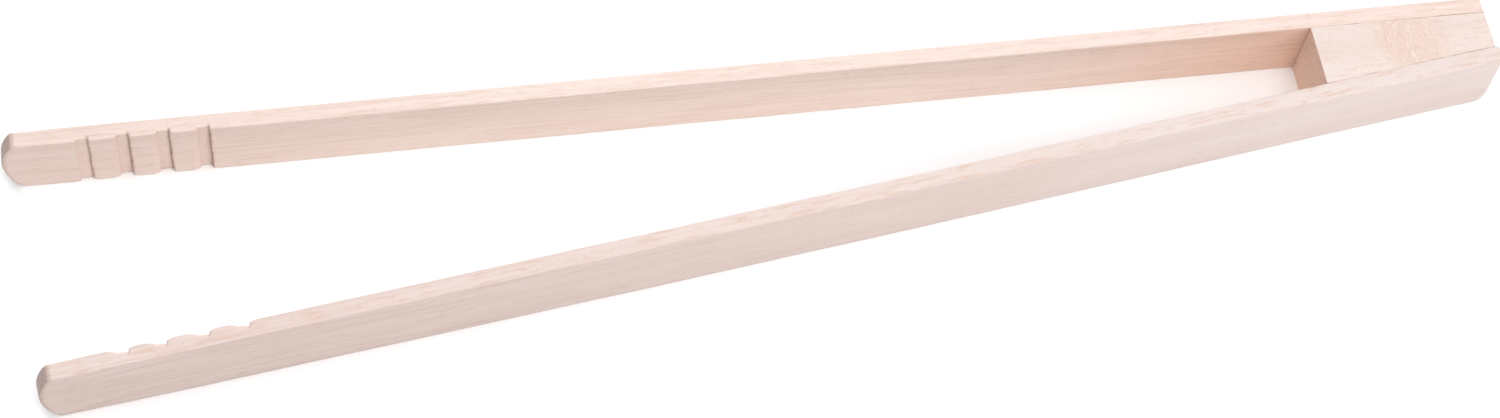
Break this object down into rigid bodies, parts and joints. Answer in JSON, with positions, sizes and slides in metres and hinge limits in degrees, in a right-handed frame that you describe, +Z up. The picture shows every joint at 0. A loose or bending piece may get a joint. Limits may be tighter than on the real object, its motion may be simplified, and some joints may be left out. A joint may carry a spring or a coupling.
{
  "type": "print tongs",
  "caption": "Flat wooden spring tongs: two long strips glued to a tapered block at the butt end, with grooves across the inner faces of the jaws.",
  "frame": {"origin": "middle of the bounding box, at its foot, on the surface that the tongs lie on", "axes": "+X from the jaw tips to the butt end, along the centre line; +Y from the front arm to the rear arm; +Z up, across the strips' broad sides"},
  "size_m": [0.4175, 0.0782, 0.02],
  "materials": {
    "beech": "planed and sanded, unvarnished",
    "glue": "dried glue, dull"
  },
  "bodies": {
    "grip_block": {"wedge_block": "beech", "front_glue_line": "glue", "rear_glue_line": "glue", "front_arm_fixed_end": "beech", "rear_arm_fixed_end": "beech"},
    "front_arm": {"front_arm_free_end": "beech"},
    "rear_arm": {"rear_arm_free_end": "beech"}
  },
  "joints": [
    {"name": "front_arm_flex", "type": "hinge", "parent": "grip_block", "child": "front_arm", "pos_m": [0.09671, -0.01355, 0.01], "axis": [0, 0, -1], "range_deg": [0, 6.35], "stiffness_Nm_per_rad": 19.5},
    {"name": "rear_arm_flex", "type": "hinge", "parent": "grip_block", "child": "rear_arm", "pos_m": [0.09651, 0.01355, 0.01], "axis": [0, 0, 1], "range_deg": [0, 6.35], "stiffness_Nm_per_rad": 19.5}
  ]
}
